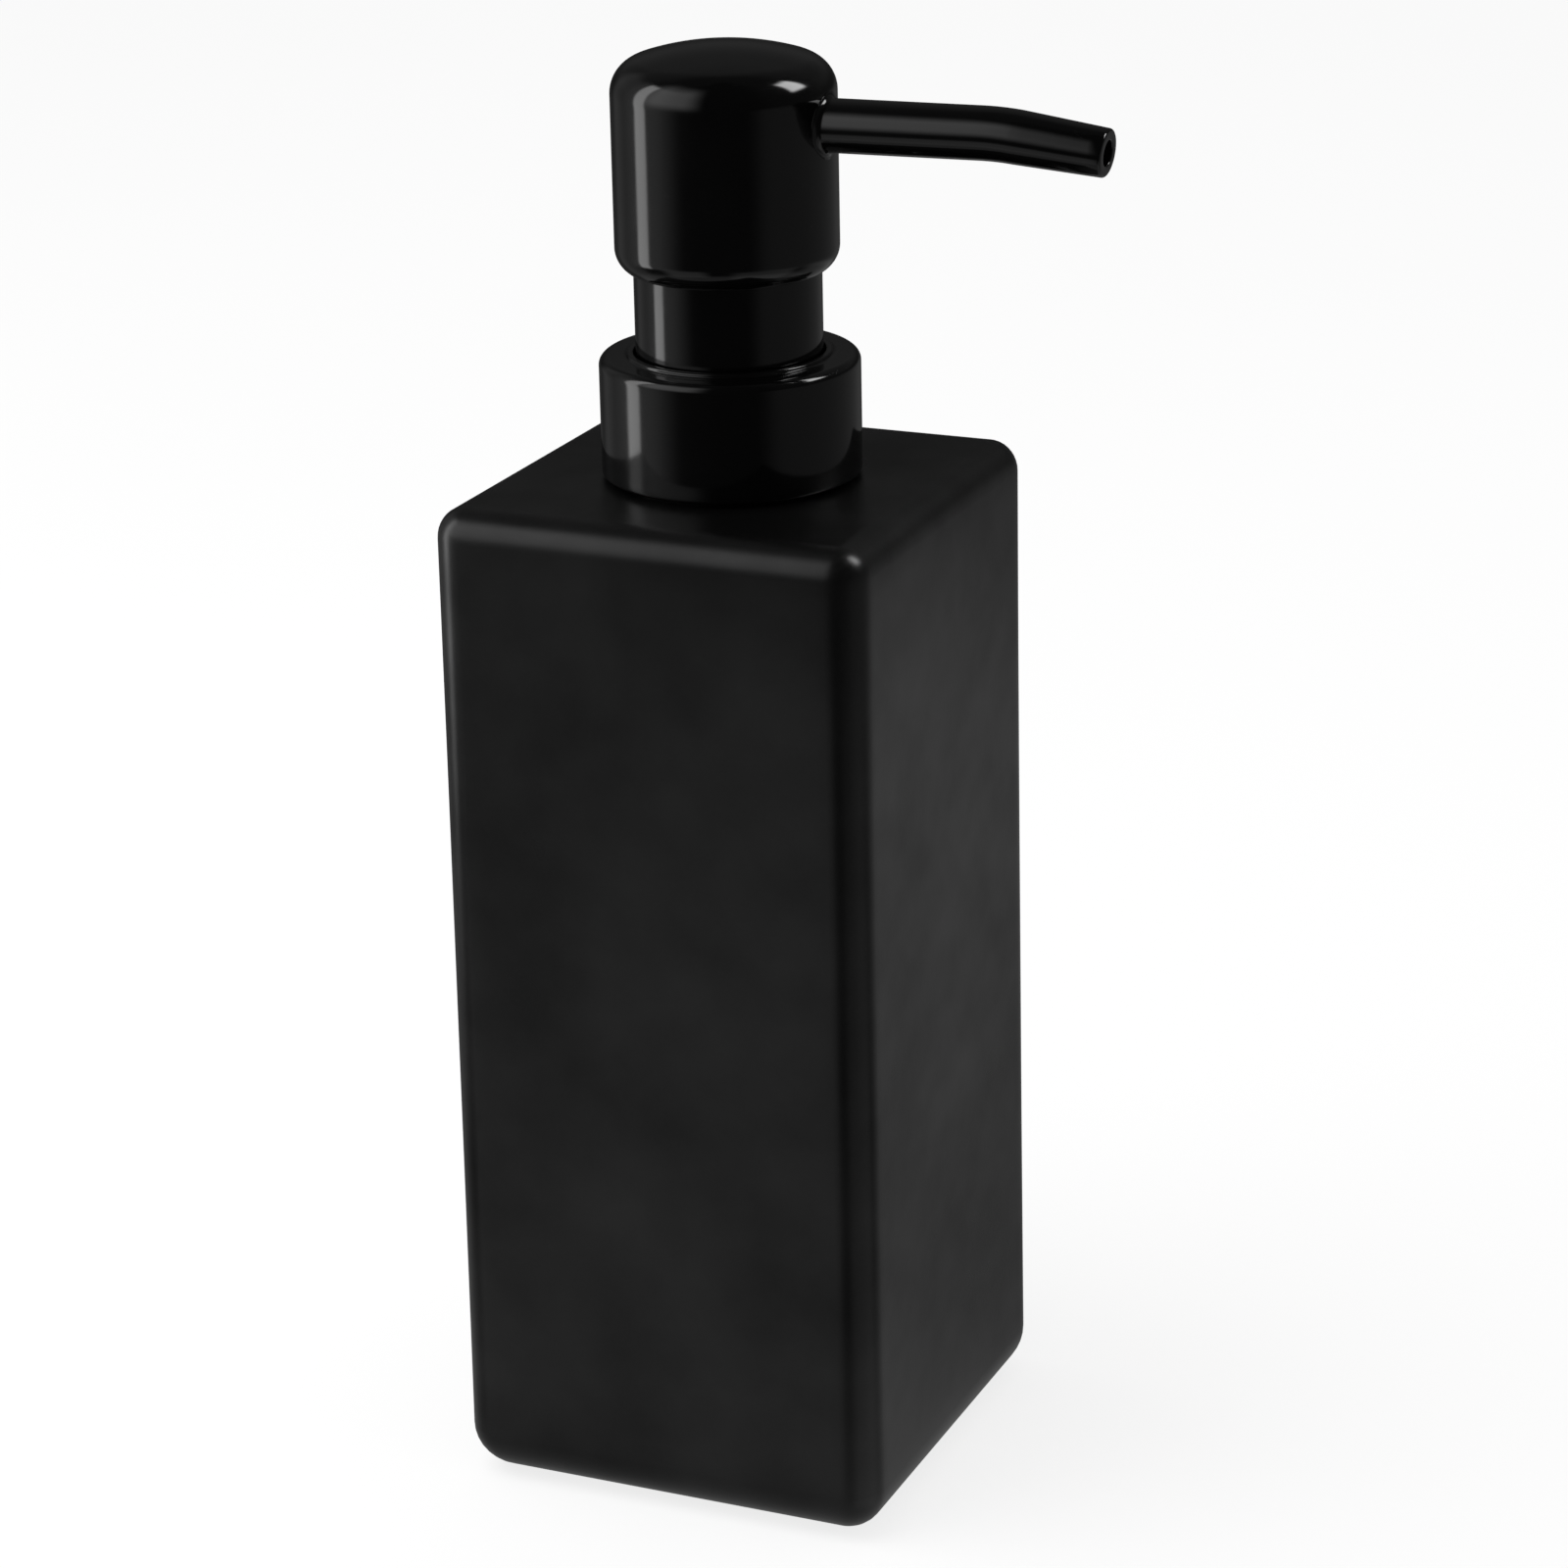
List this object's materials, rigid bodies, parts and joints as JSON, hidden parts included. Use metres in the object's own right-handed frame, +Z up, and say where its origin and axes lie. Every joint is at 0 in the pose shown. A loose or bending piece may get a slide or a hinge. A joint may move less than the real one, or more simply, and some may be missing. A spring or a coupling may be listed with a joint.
{
  "type": "soap pump dispenser",
  "caption": "Square countertop bottle with a screw-on lotion pump: a push-down round head with a thin side spout.",
  "frame": {"origin": "on the surface that the bottle stands on, below the middle of the bottle and on the pump's axis", "axes": "+Z up along the pump's axis, +X towards the spout, +Y to the left of the spout"},
  "size_m": [0.0811, 0.0596, 0.1907],
  "materials": {
    "glaze": "satin matte black glaze",
    "gloss_black": "glossy moulded black",
    "neck_plastic": "moulded black",
    "clear_plastic": "natural translucent moulded",
    "white_plastic": "natural white moulded",
    "seal": "soft foamed seal",
    "steel": "drawn stainless",
    "ball_steel": "polished"
  },
  "bodies": {
    "bottle": {"bottle": "glaze", "neck_ring": "neck_plastic"},
    "pump_core": {"gasket": "seal", "housing": "clear_plastic", "chaplet": "white_plastic", "guide_sleeve": "gloss_black", "dip_tube": "clear_plastic", "ball_retainer": "white_plastic", "spring": "steel"},
    "collar": {"collar_cover": "gloss_black", "collar_nut": "neck_plastic"},
    "stem": {"stem": "white_plastic", "stem_plug": "white_plastic"},
    "piston": {"piston": "clear_plastic"},
    "head": {"head_shell": "gloss_black", "head_core": "neck_plastic", "spout": "gloss_black"},
    "ball": {"inlet_ball": "ball_steel"}
  },
  "joints": [
    {"name": "pump_rise", "type": "slide", "parent": "bottle", "child": "pump_core", "axis": [0, 0, 1], "range_m": [0, 0.0053]},
    {"name": "collar_unscrew", "type": "hinge", "parent": "pump_core", "child": "collar", "pos_m": [0, 0, 0.143], "axis": [0, 0, 1], "range_deg": [0, 450]},
    {"name": "head_press", "type": "slide", "parent": "pump_core", "child": "stem", "axis": [0, 0, -1], "range_m": [0, 0.0095], "stiffness_N_per_m": 800, "springref_m": -0.006, "deforming": ["spring"]},
    {"name": "piston_slide", "type": "slide", "parent": "pump_core", "child": "piston", "axis": [0, 0, -1], "range_m": [0, 0.0086]},
    {"name": "head_swivel", "type": "hinge", "parent": "stem", "child": "head", "pos_m": [0, 0, 0.17], "axis": [0, 0, 1], "continuous": true},
    {"name": "ball_lift", "type": "slide", "parent": "pump_core", "child": "ball", "axis": [0, 0, 1], "range_m": [0, 0.0015]}
  ],
  "couplings": [
    {"joint": "pump_rise", "follows": "collar_unscrew", "m_per_rad": 0.00067376},
    {"joint": "piston_slide", "follows": "head_press", "ratio": 0.89474}
  ]
}
